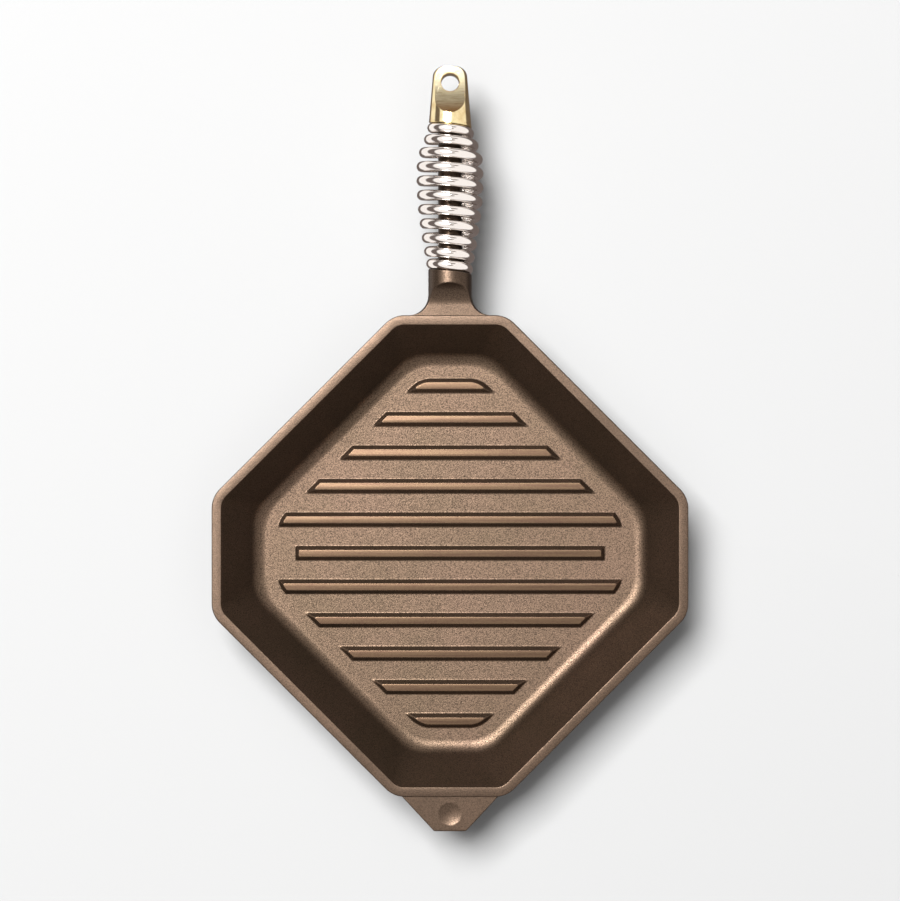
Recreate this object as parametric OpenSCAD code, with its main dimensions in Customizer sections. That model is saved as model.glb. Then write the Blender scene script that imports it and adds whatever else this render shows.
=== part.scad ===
// Octagonal cast-iron grill pan with a coiled grip and a brass end cap.
// The origin is the centre of the base's underside, +Z is up and +Y runs out along the handle.
// An inset is measured inwards from the outer edge of the rim, square to every side.

/* [Pan] */
// Distance across the four long sides of the rim
pan_flats = 242; // [200:1:300]
// Length of the left and right sides, before their corners are rounded
side_l = 67.8; // [50:0.1:90]
// Length of the handle side and the tab side, before their corners are rounded
end_l = 65; // [54:0.1:90]
// Height of the rim above the base
pan_h = 45; // [34:0.5:70]
// Thickness of the floor between the ridges
floor_t = 5; // [3:0.1:9]
// Width of the flat rim
rim_w = 5.8; // [4:0.1:9]
// Bevel on both edges of the rim
rim_bevel = 0.6; // [0.2:0.1:1.5]
// Corner radius of the rim's outer edge
rim_corner_r = 15.5; // [11:0.5:20]
// Lean of the walls away from upright, in degrees
wall_lean = 22.8; // [8:0.1:26]
// Round between the walls and the floor
floor_round = 9; // [4:0.5:16]
// Corner radius of the floor's outline
floor_corner_r = 28; // [14:1:34]
// Round between the walls and the base
base_round = 13; // [4:0.5:18]
// Corner radius of the base's outline
base_corner_r = 30; // [16:1:36]

/* [Ridges] */
// Distance between the middles of neighbouring ridges
ridge_pitch = 19.8; // [12:0.1:30]
// Width of a ridge at its foot
ridge_foot_w = 8.3; // [5:0.1:11]
// Width of a ridge's ground top
ridge_top_w = 4.1; // [2:0.1:4.9]
// Height of the ridges above the floor
ridge_h = 4.5; // [2.5:0.1:8]
// Flat floor left between the wall's round and the ridge ends
ridge_margin = 7; // [5:0.1:14]
// Corner radius of the outline that the ridge ends follow
ridge_corner_r = 17; // [8:0.5:24]
// How much further in the middle ridge stops at each end
middle_ridge_inset = 10.5; // [2:0.1:20]

/* [Neck and collar] */
// Drop from the rim to the handle's axis
axis_drop = 6; // [2:0.5:14]
// Diameter of the collar
collar_d = 25; // [21:0.1:30]
// Distance from the rim to the start of the coil's wire
neck_l = 25.1; // [21:0.1:45]
// Radius of the sideways flare where the neck meets the rim
neck_flare_r = 12; // [6:0.5:14]
// Radius of the flare under the neck
under_flare_r = 12; // [7:0.5:16]
// Distance outside the rim at which the flare under the neck starts
under_flare_l = 5; // [2:0.5:8]
// Step from the rim down to the neck's flat top
neck_step = 1; // [0.4:0.1:3]
// Radius of the thumb scoop
scoop_r = 14; // [11:0.5:20]
// Length of collar left between the scoop and the coil's seat
collar_land = 7; // [4:0.1:12]

/* [Coil grip] */
// Diameter of the wire
wire_d = 6; // [4:0.1:8]
// Number of turns
coil_turns = 11; // [7:1:15]
// Gap between turns along the middle of the grip
coil_gap = 2.2; // [0.8:0.1:4]
// Gap between turns that the two ends tend to
coil_end_gap = 0.4; // [0.2:0.1:1.5]
// Number of turns over which the gap opens
closing_turns = 3; // [1:0.5:4]
// Outer diameter of the grip at its fullest
belly_d = 38.7; // [32:0.1:46]
// Part of the grip's length over which it swells from the collar
belly_rise = 0.62; // [0.3:0.01:0.65]
// Part of the grip's length over which it shrinks to the cap
belly_fall = 0.3; // [0.2:0.01:0.35]
// Gap between the wire and its seats
seat_gap = 0.05; // [0.02:0.01:0.2]
// Gap between the wire's cut ends and the steps that stop them
wire_end_gap = 0.5; // [0.4:0.1:1.5]

/* [Tang and stud] */
// Diameter of the tang inside the grip
tang_d = 13.6; // [11.4:0.1:17]
// Gap between the tang and the end turns
tang_gap = 0.2; // [0.1:0.05:1]
// Length of tang that reaches past the coil into the cap
tang_reach = 3.5; // [2:0.1:5]
// Diameter of the stud
stud_d = 8; // [6:0.1:9]
// Length of the stud
stud_l = 25; // [20:0.5:28]
// Length of the stud that is screwed into the tang
stud_in_tang = 14; // [10:0.5:16]
// Gap between the stud and its two threaded holes
thread_gap = 0.05; // [0.02:0.01:0.2]
// Gap at the bottom of each hole that takes the stud or the tang
bottom_gap = 0.5; // [0.2:0.1:1]

/* [End cap] */
// Diameter of the cap level with the end of the coil
cap_d = 24.6; // [22.5:0.1:29]
// Length of the cap past the end of the coil
cap_l = 33.6; // [31:0.1:44]
// Taper of the cap's side, in degrees
cap_taper = 4.8; // [2:0.1:6]
// Round at the cap's tip
cap_tip_r = 6; // [3:0.1:6.5]
// Thickness of the cap between its two milled flats
cap_flat_t = 11; // [10:0.1:14]
// Width of the cutter's track that each flat is milled with
cap_flat_w = 17.2; // [14:0.1:19]
// Length of each flat, back from the tip
cap_flat_l = 27.6; // [22:0.1:28]
// Diameter of the hang hole
hang_hole_d = 10.4; // [6:0.1:11]
// Distance from the middle of the hang hole to the tip
hang_hole_in = 9.5; // [8:0.1:11]
// Bevel on both edges of the hang hole
hang_hole_bevel = 0.4; // [0.2:0.1:0.8]

/* [Helper tab] */
// Length of the tab beyond the rim
tab_l = 19.9; // [12:0.1:30]
// Width of the tab where it leaves the rim
tab_root_w = 55.4; // [40:0.1:62]
// Width of the tab at its tip
tab_tip_w = 18.4; // [12:0.1:36]
// Thickness of the tab at its tip
tab_t = 6; // [4:0.1:9]
// Extra thickness where the tab meets the wall
tab_root_t = 7; // [2:0.1:12]
// Step from the rim down to the tab
tab_step = 1.2; // [0.4:0.1:3]
// Corner radius at the tab's tip
tab_corner_r = 2; // [1:0.5:4]
// Diameter of the plain round dish in the tab
dish_d = 13; // [8:0.1:16]
// Depth of the dish
dish_depth = 0.8; // [0.4:0.1:1.5]

/* [Hidden] */
$fn = 72;

corner_steps = 6;   // straight steps in each rounded corner of an outline
round_steps = 6;    // steps in a round or a flare
neck_sides = 48;    // sides of the neck and collar
wire_sides = 12;    // sides of the coil's wire
coil_steps = 24;    // rings in each turn of the coil
seat_steps = 36;    // steps in a coil seat's ramp
seat_step_angle = 3; // angle that a seat's step takes up
spare = 1;          // how far a cut runs past what it cuts
tiny_turn = 0.002;  // part of a turn over which the wire's direction is taken

iron = "#6b5442";
steel = "#c9c9c6";
brass = "#cdb06a";
zinc = "#9aa0a3";

// Rim
half_flats = pan_flats / 2;
half_x = sqrt(2) * half_flats - side_l / 2;
half_y = sqrt(2) * half_flats - end_l / 2;
slope = tan(wall_lean);
rim_z = pan_h - rim_bevel;
floor_inset = rim_w + (rim_z - floor_t - floor_round) * slope + floor_round / cos(wall_lean);
base_inset = (rim_z - base_round) * slope + base_round / cos(wall_lean);

// Ridges
ridge_lean = (ridge_foot_w - ridge_top_w) / 2 / ridge_h;
field_inset = floor_inset + ridge_margin;
ridges_each_side = floor((half_y - field_inset - ridge_top_w / 2) / ridge_pitch);
middle_ridge_l = 2 * (half_x - field_inset - middle_ridge_inset);

// Handle
axis_z = pan_h - axis_drop;
collar_r = collar_d / 2;
wire_r = wire_d / 2;
coil_y0 = half_y + neck_l;
coil_pitch = wire_d + coil_gap;
pitch_drop = coil_gap - coil_end_gap;
coil_end_r = tang_d / 2 + tang_gap + wire_r;
coil_belly_r = belly_d / 2 - wire_r;
coil_y1 = coil_y(coil_turns);
tang_y1 = coil_y1 + tang_reach;
stud_y0 = tang_y1 - stud_in_tang;
neck_top = pan_h - neck_step;
neck_low = axis_z - collar_r - under_flare_r;
scoop_y1 = coil_seat(0.5) - collar_land;
scoop_rise = axis_z + collar_r - neck_top;
scoop_y0 = scoop_y1 - sqrt(scoop_r * scoop_r - pow(scoop_r - scoop_rise, 2));
cap_y1 = coil_y1 + cap_l;
cap_lean = tan(cap_taper);
tab_top = pan_h - tab_step;

// Closed solid through rings of equally many points, each ring running
// anticlockwise about the direction from the first ring to the last
module loft(rings) {
    m = len(rings);
    n = len(rings[0]);
    first = [for (j = [0:n - 1]) j];
    last = [for (j = [n - 1:-1:0]) (m - 1) * n + j];
    polyhedron([for (ring = rings) each ring], concat(skin(m - 1, m, n), [first, last]), 10);
}

// Closed hoop through rings of equally many points, the last one joined to the first
module hoop(rings) {
    m = len(rings);
    polyhedron([for (ring = rings) each ring], skin(m, m, len(rings[0])), 10);
}

// Triangles between "spans" pairs of neighbouring rings, out of m rings of n points
function skin(spans, m, n) =
    [for (i = [0:spans - 1]) for (j = [0:n - 1])
        let (
            a = i * n + j,
            b = i * n + (j + 1) % n,
            c = ((i + 1) % m) * n + (j + 1) % n,
            d = ((i + 1) % m) * n + j
        )
        each [[a, d, c], [a, c, b]]];

// Outline of the octagon at an inset and a height, its corners rounded to r
function outline(inset, r, z) =
    let (
        x = half_x - inset - r,
        y = half_y - inset - r,
        reach = sqrt(2) * (half_flats - inset - r),
        side_corner = [x, reach - x],
        end_corner = [reach - y, y]
    )
    [for (k = [0:7]) for (i = [0:corner_steps])
        let (
            corner = (k % 4 == 0 || k % 4 == 3) ? side_corner : end_corner,
            sx = (k < 2 || k > 5) ? 1 : -1,
            sy = k < 4 ? 1 : -1,
            a = 45 * (k + i / corner_steps)
        )
        [sx * corner[0] + r * cos(a), sy * corner[1] + r * sin(a), z]];

// Outline of the wall's outside at a height, its corners growing towards the base
function outer_ring(inset, z) =
    outline(inset, rim_corner_r + (base_corner_r - rim_corner_r) * (1 - z / pan_h), z);

// Outline of the wall's inside at a height, its corners growing towards the floor
function inner_ring(inset, z) =
    let (rim_r = rim_corner_r - rim_w)
    outline(inset, rim_r + (floor_corner_r - rim_r) * (pan_h - z) / (pan_h - floor_t), z);

// How far a flare of radius r that starts at y0 has spread at y
function flare(r, y0, y) =
    let (u = min(r, max(0, y0 - y)))
    r - sqrt(r * r - u * u);

// Inset of the middle of the wall at a height
function wall_middle(z) = (rim_z - z) * slope + rim_w / 2;

// Section of the neck at y: half round above the axis, deepened under it by the flare
function neck_ring(y) =
    let (
        a = collar_r + flare(neck_flare_r, half_y + neck_flare_r, y),
        b = collar_r + flare(under_flare_r, half_y + under_flare_l, y)
    )
    [for (i = [0:neck_sides - 1])
        let (t = 360 * i / neck_sides, up = cos(t))
        [a * sin(t), y, axis_z + (up > 0 ? collar_r : b) * up]];

// Integral of the closing of the end turns, which fades out over closing_turns
function closing(t) =
    t < closing_turns ? (t + closing_turns / PI * sin(180 * t / closing_turns)) / 2 : closing_turns / 2;

// Place of the wire's middle along the handle, t turns after its start
function coil_y(t) =
    coil_y0 + coil_pitch * t
    - pitch_drop * (closing(t) + closing(coil_turns) - closing(coil_turns - t));

// Fullness of the barrel, from 0 at its ends to 1 at its belly, at s of its length
function barrel(s) =
    s < belly_rise ? pow(sin(90 * s / belly_rise), 1.25)
    : s < 1 - belly_fall ? 1
    : (1 + cos(180 * (s - 1 + belly_fall) / belly_fall)) / 2;

// Radius of the coil's middle line after t turns
function coil_r(t) = coil_end_r + (coil_belly_r - coil_end_r) * barrel(t / coil_turns);

// Direction away from the handle's axis after t turns, which start underneath
function outwards(t) = [sin(360 * t), 0, -cos(360 * t)];

// Point on the coil's middle line after t turns
function coil_point(t) = [0, coil_y(t), axis_z] + coil_r(t) * outwards(t);

function unit(v) = v / norm(v);

// Section of the wire, square to its run, after t turns
function wire_ring(t) =
    let (
        ahead = unit(coil_point(t + tiny_turn) - coil_point(t - tiny_turn)),
        across = unit(cross(ahead, outwards(t))),
        out = cross(across, ahead)
    )
    [for (i = [0:wire_sides - 1])
        let (a = 360 * i / wire_sides)
        coil_point(t) + wire_r * (out * cos(a) + across * sin(a))];

// Collar's seat and cap's seat, as places along the handle after t turns
function coil_seat(t) = coil_y(t) - wire_r - seat_gap;
function cap_seat(t) = coil_y(t) + wire_r + seat_gap;

// Four corners of a seat cutter's section after t turns
function seat_ring(t, low, high) =
    let (in_r = tang_d / 2 - 1.5, out_r = max(collar_d, cap_d) / 2 + 3)
    [for (p = [[in_r, low], [out_r, low], [out_r, high], [in_r, high]])
        [0, p[1], axis_z] + p[0] * outwards(t)];

// Everything beyond the collar's ramp, whose step stands underneath
module collar_seat_cut(y_end) {
    hoop([for (i = [0:seat_steps])
        let (t = i / seat_steps * (1 - seat_step_angle / 360))
        seat_ring(t, coil_seat(t), y_end)]);
}

// Everything short of the cap's ramp, whose step stands underneath
module cap_seat_cut(y_start) {
    hoop([for (i = [0:seat_steps])
        let (t = coil_turns - (1 - i / seat_steps) * (1 - seat_step_angle / 360))
        seat_ring(t, y_start, cap_seat(t))]);
}

// Solid bar along Y, centred on the handle's axis
module axis_bar(r, y0, y1) {
    translate([0, y0, axis_z]) rotate([-90, 0, 0]) cylinder(r = r, h = y1 - y0);
}

// Outer shape of the pan, without its well
module pan_outside() {
    wall = [for (i = [0:round_steps])
        let (a = (90 - wall_lean) * i / round_steps)
        outer_ring(base_inset - base_round * sin(a), base_round * (1 - cos(a)))];
    rim = [outer_ring(0, rim_z), outer_ring(rim_bevel, pan_h)];
    loft(concat(wall, rim));
}

// The well, from the floor to above the rim
module well() {
    wall = [for (i = [0:round_steps])
        let (a = 90 - (90 - wall_lean) * i / round_steps)
        inner_ring(floor_inset - floor_round * cos(a), floor_t + floor_round * (1 - sin(a)))];
    rim = [
        inner_ring(rim_w, rim_z),
        inner_ring(rim_w - rim_bevel, pan_h),
        inner_ring(rim_w - rim_bevel - spare, pan_h + spare)
    ];
    loft(concat(wall, rim));
}

// Trapezoid section of a ridge, with its foot sunk into the floor
module ridge_section(foot_w) {
    foot = foot_w / 2 + spare * ridge_lean;
    top = foot_w / 2 - ridge_h * ridge_lean;
    polygon([[-foot, -spare], [foot, -spare], [top, ridge_h], [-top, ridge_h]]);
}

// Ridge of full length along X
module ridge_bar() {
    rotate([90, 0, 90]) linear_extrude(2 * half_x, center = true) ridge_section(ridge_foot_w);
}

// All the ridges, their ends sloped to follow the floor's outline
module ridges() {
    intersection() {
        translate([0, 0, floor_t]) {
            for (i = [1:ridges_each_side], side = [-1, 1])
                translate([0, side * i * ridge_pitch, 0]) ridge_bar();
            intersection() {
                ridge_bar();
                rotate([90, 0, 0])
                    linear_extrude(2 * ridge_pitch, center = true) ridge_section(middle_ridge_l);
            }
        }
        loft([for (dz = [-2 * spare, ridge_h + spare])
            outline(field_inset + dz * ridge_lean, ridge_corner_r - dz * ridge_lean, floor_t + dz)]);
    }
}

// Cut that leaves the neck's flat top and the thumb scoop
module scoop_cut() {
    y_in = half_y - 3 * neck_flare_r;
    above = 4 * spare;
    end_angle = acos(1 - (scoop_rise + above) / scoop_r);
    arc = [for (i = [0:2 * round_steps])
        let (a = end_angle * i / (2 * round_steps))
        [scoop_y0 + scoop_r * sin(a), neck_top + scoop_r * (1 - cos(a))]];
    top = neck_top + scoop_rise + above;
    rotate([90, 0, 90])
        linear_extrude(4 * collar_d, center = true)
            polygon(concat([[y_in, top], [y_in, neck_top]], arc));
}

// Neck and collar, from inside the wall to the coil's seat
module neck() {
    collar_end = coil_y(1);
    flare_y = half_y + neck_flare_r;
    root_in = wall_middle(neck_low);
    difference() {
        loft([for (y = concat(
                [half_y - root_in, half_y - root_in * 2 / 3, half_y - root_in / 3],
                [for (i = [round_steps:-1:0]) flare_y - neck_flare_r * sin(90 * i / round_steps)],
                [collar_end]))
            neck_ring(y)]);
        scoop_cut();
        collar_seat_cut(collar_end + spare);
    }
}

// Arc that rounds the corner at b of an outline to the radius r
function rounded(a, b, c, r) =
    let (
        u = unit(a - b),
        v = unit(c - b),
        half = acos(u * v) / 2,
        middle = b + unit(u + v) * r / sin(half),
        start = atan2((b + u * r / tan(half) - middle)[1], (b + u * r / tan(half) - middle)[0])
    )
    [for (i = [0:round_steps])
        let (t = start + (180 - 2 * half) * i / round_steps)
        middle + r * [cos(t), sin(t)]];

// Helper tab, thicker towards the wall
module tab() {
    tip_y = -half_y - tab_l;
    root_in = wall_middle(tab_top - tab_t - tab_root_t);
    root_x = tab_root_w / 2 + root_in * (tab_root_w - tab_tip_w) / 2 / tab_l;
    root_y = -half_y + root_in;
    tip_x = tab_tip_w / 2;
    plan = [[-root_x, root_y], [-tip_x, tip_y], [tip_x, tip_y], [root_x, root_y]];
    tip = concat(
        rounded(plan[0], plan[1], plan[2], tab_corner_r),
        rounded(plan[1], plan[2], plan[3], tab_corner_r));
    side = [
        [tip_y - spare, tab_top],
        [tip_y - spare, tab_top - tab_t],
        [tip_y + tab_t / 2, tab_top - tab_t],
        [-half_y + root_in, tab_top - tab_t - tab_root_t],
        [-half_y + root_in, tab_top]
    ];
    dish_r = (dish_d * dish_d / 4 + dish_depth * dish_depth) / 2 / dish_depth;
    difference() {
        intersection() {
            linear_extrude(pan_h) polygon(concat([plan[0]], tip, [plan[3]]));
            rotate([90, 0, 90]) linear_extrude(2 * tab_root_w, center = true) polygon(side);
        }
        translate([0, -half_y - tab_l / 2, tab_top + dish_r - dish_depth]) sphere(dish_r);
    }
}

// Pan, ridges, neck, collar, tang and tab, in one pour of iron
module pan_casting() {
    color(iron) difference() {
        union() {
            difference() {
                union() {
                    pan_outside();
                    neck();
                    tab();
                }
                well();
            }
            ridges();
            axis_bar(tang_d / 2, half_y + neck_l / 2, tang_y1);
        }
        axis_bar(stud_d / 2 + thread_gap, stud_y0 - bottom_gap, tang_y1 + spare);
    }
}

// Grip wound from one wire, left-handed, held between the seats of collar and cap
module handle_coil() {
    steps = coil_turns * coil_steps;
    inset = wire_end_gap / (2 * PI * coil_end_r);
    color(steel) loft([for (i = [0:steps]) wire_ring(inset + (coil_turns - 2 * inset) * i / steps)]);
}

// Headless stud between tang and cap, with both ends bevelled
module cap_stud() {
    r = stud_d / 2;
    bevel = r / 5;
    color(zinc) translate([0, stud_y0, axis_z]) rotate([-90, 0, 0])
        rotate_extrude()
            polygon([[0, 0], [r - bevel, 0], [r, bevel], [r, stud_l - bevel], [r - bevel, stud_l], [0, stud_l]]);
}

// Turned body of the cap, tapered to a rounded tip
module cap_body() {
    y0 = coil_y(coil_turns - 1) - coil_y1;
    tip_z = cap_l - cap_tip_r;
    tip_x = cap_d / 2 - cap_lean * tip_z - cap_tip_r / cos(cap_taper);
    tip = [for (i = [0:2 * round_steps])
        let (a = cap_taper + (90 - cap_taper) * i / (2 * round_steps))
        [tip_x + cap_tip_r * cos(a), tip_z + cap_tip_r * sin(a)]];
    translate([0, coil_y1, axis_z]) rotate([-90, 0, 0])
        rotate_extrude()
            polygon(concat([[0, y0], [cap_d / 2 - cap_lean * y0, y0]], tip, [[0, cap_l]]));
}

// Metal that the cutter takes away to leave the upper flat
module flat_cut() {
    y0 = cap_y1 - cap_flat_l + cap_flat_w / 2;
    translate([0, y0, cap_flat_t / 2]) {
        cylinder(d = cap_flat_w, h = cap_d);
        translate([-cap_flat_w / 2, 0, 0]) cube([cap_flat_w, cap_flat_l, cap_d]);
    }
}

// Hang hole with both edges bevelled
module hang_hole() {
    r = hang_hole_d / 2;
    h = cap_flat_t / 2;
    b = hang_hole_bevel;
    translate([0, cap_y1 - hang_hole_in, axis_z]) rotate_extrude()
        polygon([
            [0, -h - spare], [r + b + spare, -h - spare], [r, -h + b],
            [r, h - b], [r + b + spare, h + spare], [0, h + spare]
        ]);
}

// Brass cap on the end of the tang
module end_cap() {
    color(brass) difference() {
        cap_body();
        cap_seat_cut(coil_y(coil_turns - 1) - spare);
        axis_bar(tang_d / 2 + tang_gap, coil_y(coil_turns - 1) - spare, tang_y1 + bottom_gap);
        axis_bar(stud_d / 2 + thread_gap, tang_y1, stud_y0 + stud_l + bottom_gap);
        translate([0, 0, axis_z]) {
            flat_cut();
            mirror([0, 0, 1]) flat_cut();
        }
        hang_hole();
    }
}

pan_casting();
handle_coil();
cap_stud();
end_cap();
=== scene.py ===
"""Octagonal cast-iron grill pan: its surfaces, finishes, lights and camera, built round the CAD frame."""

import logging
import math
from abc import ABC, abstractmethod
from collections.abc import Sequence
from dataclasses import dataclass, field
from enum import Enum
from typing import Any

import bpy
import numpy as np
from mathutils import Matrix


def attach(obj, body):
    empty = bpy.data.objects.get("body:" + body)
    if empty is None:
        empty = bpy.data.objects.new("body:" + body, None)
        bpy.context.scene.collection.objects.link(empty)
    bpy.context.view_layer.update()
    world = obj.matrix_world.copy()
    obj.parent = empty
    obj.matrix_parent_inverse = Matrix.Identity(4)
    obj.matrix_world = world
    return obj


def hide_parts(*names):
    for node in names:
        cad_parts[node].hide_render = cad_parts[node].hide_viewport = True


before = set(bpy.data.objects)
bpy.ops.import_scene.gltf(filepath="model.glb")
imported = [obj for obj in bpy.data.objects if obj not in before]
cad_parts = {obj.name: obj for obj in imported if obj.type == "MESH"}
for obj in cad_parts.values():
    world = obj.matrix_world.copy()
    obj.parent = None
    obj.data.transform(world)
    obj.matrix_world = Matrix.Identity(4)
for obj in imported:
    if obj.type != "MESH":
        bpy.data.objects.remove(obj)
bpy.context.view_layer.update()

log = logging.getLogger("grill_pan")
MM = 0.001
SAME_MM = 0.05  # heights this close count as the same
SHARP_OVER = math.radians(35)  # faces that meet at more than this show an edge
CAP_SHARP_OVER = math.radians(40)
Values = float | np.ndarray
Socket = bpy.types.NodeSocket
Settings = dict[str | int, Any]
Links = dict[str | int, Socket]


class Side(Enum):
    """Which of the cap's two flats a cutter mills."""

    UPPER = 1
    LOWER = -1


def to_linear(hex_colour: str) -> tuple[float, float, float, float]:
    """Turn an sRGB hex value into linear red, green, blue and alpha.

    Args:
        hex_colour: Colour such as "#8a6a52".

    Returns:
        Linear red, green and blue from 0 to 1, and alpha 1.
    """
    srgb = np.array([int(hex_colour[i : i + 2], 16) for i in (1, 3, 5)]) / 255
    linear = np.where(srgb <= 0.04045, srgb / 12.92, ((srgb + 0.055) / 1.055) ** 2.4)
    return (float(linear[0]), float(linear[1]), float(linear[2]), 1.0)


def add_node(
    owner: bpy.types.Material | bpy.types.World,
    kind: str,
    settings: Settings | None = None,
    links: Links | None = None,
) -> bpy.types.Node:
    """Add one node to a material or a world, with its settings and its links.

    Args:
        owner: Material or world that gets the node.
        kind: Kind of node, as Blender names it after "ShaderNode".
        settings: Values of the node's properties and of its input sockets, by name or number.
        links: Output sockets that feed its input sockets, by name or number.

    Returns:
        The new node.
    """
    node = owner.node_tree.nodes.new("ShaderNode" + kind)
    for key, value in (settings or {}).items():
        if isinstance(key, str) and hasattr(node, key):
            setattr(node, key, value)
        else:
            node.inputs[key].default_value = value
    for key, socket in (links or {}).items():
        owner.node_tree.links.new(socket, node.inputs[key])
    return node


def new_mesh_object(name: str, points: np.ndarray, faces: list[list[int]]) -> bpy.types.Object:
    """Make a smooth-shaded mesh object at the origin.

    Args:
        name: Name of the piece.
        points: Vertices in millimetres, one row each.
        faces: Vertex numbers of each face, anticlockwise as seen from outside.

    Returns:
        The new object, with its vertices in metres.
    """
    mesh = bpy.data.meshes.new(name)
    mesh.from_pydata(points * MM, [], faces)
    mesh.update()
    mesh.shade_smooth()
    mesh.set_sharp_from_angle(angle=SHARP_OVER)
    piece = bpy.data.objects.new(name, mesh)
    bpy.context.scene.collection.objects.link(piece)
    return piece


def skin(name: str, rings: np.ndarray) -> bpy.types.Object:
    """Join neighbouring rings of points with quads, each ring closed on itself and the two ends filled.

    Point j of ring i is joined to point j + 1 of the same ring and to the same points of ring i + 1.
    The rings run anticlockwise about the direction from the first ring to the last, so that faces point
    outwards.

    Args:
        name: Name of the piece.
        rings: Points in millimetres, as rings by points by x, y, z.

    Returns:
        The new object.
    """
    m, n, _ = rings.shape
    number = np.arange(m * n).reshape(m, n)
    after = np.roll(number, -1, axis=1)
    quads = np.stack([number[:-1], after[:-1], after[1:], number[1:]], axis=-1).reshape(-1, 4).tolist()
    ends = [number[0, ::-1].tolist(), number[-1].tolist()]
    return new_mesh_object(name, rings.reshape(-1, 3), quads + ends)


def turned(radius: Values, y: Values, turn: Values, axis_z: float) -> np.ndarray:
    """Points on rings about the handle's axis.

    A point stands radius away from the axis. Its direction starts straight down at turn 0 and goes by +X,
    up and -X back to straight down at turn 1: x is radius times the sine of the turn, z is the axis less
    radius times its cosine.

    Args:
        radius: Distances from the axis.
        y: Places along the handle.
        turn: Parts of a full turn.
        axis_z: Height of the axis.

    Returns:
        Points as an array with x, y, z last.
    """
    radius, y, turn = np.broadcast_arrays(radius, y, turn)
    angle = 2 * np.pi * turn
    return np.stack([radius * np.sin(angle), y, axis_z - radius * np.cos(angle)], axis=-1)


def soft_min(a: np.ndarray, b: np.ndarray, width: float) -> np.ndarray:
    """Smaller of two heights, with the crease between them rounded where they differ by less than width.

    Where h is the blend from 0 to 1 across the crease, the result is b + (a - b) h - width h (1 - h).

    Args:
        a: One set of heights.
        b: The other set.
        width: Difference under which the crease is rounded.

    Returns:
        The smaller heights.
    """
    h = np.clip(0.5 + 0.5 * (b - a) / width, 0, 1)
    return b + (a - b) * h - width * h * (1 - h)


class Finish(ABC):
    """A finish that dresses pieces in one procedural material."""

    slot: str
    name: str

    def material(self) -> bpy.types.Material:
        """Make the material, or give back the one made before."""
        made = bpy.data.materials.get(self.name)
        if made is None:
            made = bpy.data.materials.new(self.name)
            made.use_nodes = True
            made.node_tree.nodes.clear()
            place = add_node(made, "TexCoord").outputs["Object"]
            settings, links = self.surface(made, place)
            shader = add_node(made, "BsdfPrincipled", settings, links)
            add_node(made, "OutputMaterial", {}, {"Surface": shader.outputs["BSDF"]})
        return made

    @abstractmethod
    def surface(self, material: bpy.types.Material, place: Socket) -> tuple[Settings, Links]:
        """Add the finish's patterns to an empty material.

        Args:
            material: Material that gets the patterns' nodes.
            place: Object coordinates.

        Returns:
            The shader's constant values, and the sockets that feed its other inputs.
        """


@dataclass(frozen=True)
class SandCastIron(Finish):
    """Grey iron poured in a sand mould, then seasoned with baked oil.

    The sand leaves a fine pebbled grain, and the oil bakes to a thin bronze-brown film that is thicker in
    some places than in others. It has the broad, dull gleam of metal under a skin.
    """

    name: str = "seasoned_sand_cast_iron"
    slot: str = "seasoned_iron"
    film: str = "#57483a"
    thin_film: str = "#5f4d40"
    pit: str = "#1f1811"
    metallic: float = 0.9
    roughness: float = 0.42
    grain_mm: float = 0.65  # sand is 0.3 mm; drawn coarser so that it shows
    patch_mm: float = 60
    grain_depth_mm: float = 0.17

    def surface(self, material: bpy.types.Material, place: Socket) -> tuple[Settings, Links]:
        """Add the grain with its dark pits, the patches of film, and a gleam that is duller in the pits.

        Args:
            material: Material that gets the nodes.
            place: Object coordinates.

        Returns:
            The shader's constant values and its links.
        """
        grain = add_node(
            material,
            "TexNoise",
            {"Scale": 1000 / self.grain_mm, "Detail": 3.0, "Roughness": 0.62},
            {"Vector": place},
        ).outputs["Fac"]
        cloud = add_node(
            material,
            "TexNoise",
            {"Scale": 1000 / self.patch_mm, "Detail": 5.0, "Roughness": 0.6},
            {"Vector": place},
        ).outputs["Fac"]
        patches = add_node(material, "MapRange", {"From Min": 0.35, "From Max": 0.65}, {"Value": cloud})
        film = add_node(
            material,
            "Mix",
            {"data_type": "RGBA", 6: to_linear(self.film), 7: to_linear(self.thin_film)},
            {0: patches.outputs["Result"]},
        )
        pits = add_node(material, "MapRange", {"From Min": 0.3, "From Max": 0.6}, {"Value": grain})
        colour = add_node(
            material,
            "Mix",
            {"data_type": "RGBA", 6: to_linear(self.pit)},
            {0: pits.outputs["Result"], 7: film.outputs[2]},
        )
        dull, bright = self.roughness + 0.08, self.roughness - 0.05
        gleam = add_node(
            material,
            "MapRange",
            {"From Min": 0.3, "From Max": 0.7, "To Min": dull, "To Max": bright},
            {"Value": grain},
        )
        bump = add_node(
            material, "Bump", {"Strength": 0.55, "Distance": self.grain_depth_mm * MM}, {"Height": grain}
        )
        return {"Metallic": self.metallic}, {
            "Base Color": colour.outputs[2],
            "Roughness": gleam.outputs["Result"],
            "Normal": bump.outputs["Normal"],
        }


@dataclass(frozen=True)
class FettledIron(SandCastIron):
    """Cast iron rubbed on a coarse belt after casting, then seasoned.

    The belt takes the peaks off the grain, so the metal is darker and gleams over a narrower angle.
    """

    name: str = "seasoned_fettled_iron"
    film: str = "#4d3f34"
    thin_film: str = "#57473b"
    pit: str = "#2a2119"
    roughness: float = 0.355
    grain_depth_mm: float = 0.12


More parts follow.
